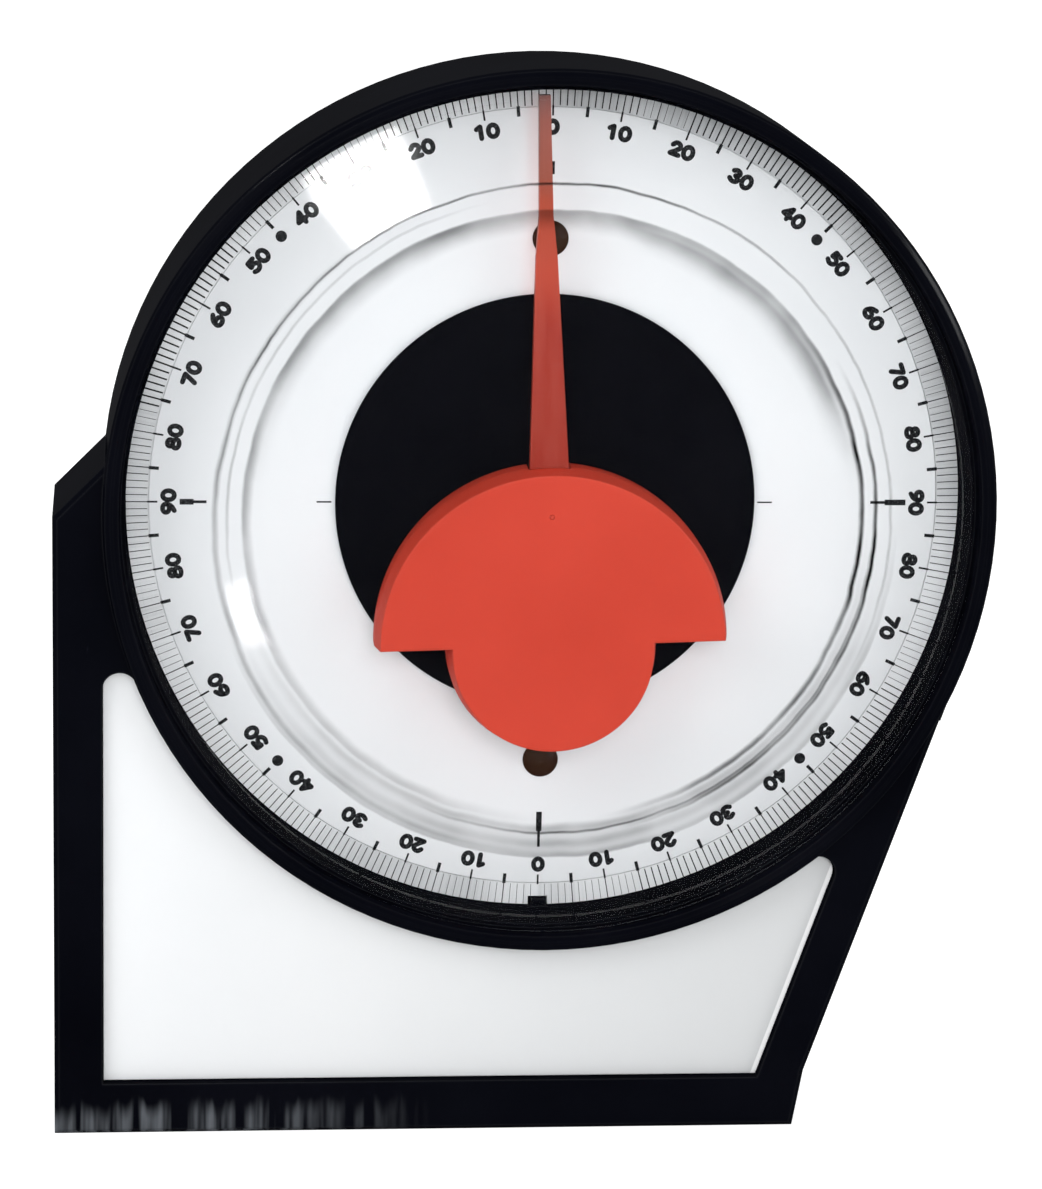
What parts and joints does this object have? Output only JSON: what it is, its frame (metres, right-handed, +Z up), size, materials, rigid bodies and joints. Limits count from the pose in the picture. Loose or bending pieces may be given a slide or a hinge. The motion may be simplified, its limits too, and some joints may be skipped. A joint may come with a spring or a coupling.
{
  "type": "inclinometer",
  "caption": "Black magnetic-base angle finder with a round glazed dial in degrees, a weighted red pendulum pointer and a pale panel in a slanted window.",
  "frame": {"origin": "centre of the bounding box's bottom face, on the plane that the base stands on", "axes": "+Z up from the base, +X to the right as the dial is read, +Y to the back, so the dial faces -Y"},
  "size_m": [0.1014, 0.0222, 0.1169],
  "materials": {
    "housing_black": "gloss moulded black plastic",
    "cover_black": "fine matt black plastic",
    "screw_steel": "plated steel",
    "panel_white": "satin off-white plastic",
    "dial_white": "satin white",
    "degree_silver": "fine matt silver grey",
    "disc_black": "satin black",
    "rivet_black": "blackened metal",
    "lens_clear": "clear polished",
    "bush_brass": "turned brass",
    "magnet_grey": "sintered grey ferrite",
    "keeper_steel": "rolled steel",
    "axle_steel": "polished steel",
    "washer_white": "natural nylon",
    "pointer_red": "red tinted plastic",
    "weight_red": "satin orange-red plastic",
    "slug_iron": "cast metal"
  },
  "bodies": {
    "housing": {"front_housing": "housing_black", "rear_cover": "cover_black", "cover_screws": "screw_steel", "window_panel": "panel_white", "dial_plate": "dial_white", "degree_ring": "degree_silver", "hub_disc": "disc_black", "dial_rivets": "rivet_black", "lens": "lens_clear", "front_bush": "bush_brass", "rear_bush": "bush_brass", "base_magnets": "magnet_grey", "base_keeper": "keeper_steel", "magnet_retainer": "cover_black"},
    "pendulum": {"pivot_axle": "axle_steel", "thrust_washer": "washer_white", "retaining_clip": "keeper_steel", "pendulum_pointer": "pointer_red", "weight_cover": "weight_red", "weight_slug": "slug_iron"}
  },
  "joints": [
    {"name": "pendulum_swing", "type": "hinge", "parent": "housing", "child": "pendulum", "pos_m": [0.00265, 0, 0.0689], "axis": [0, -1, 0], "continuous": true}
  ]
}
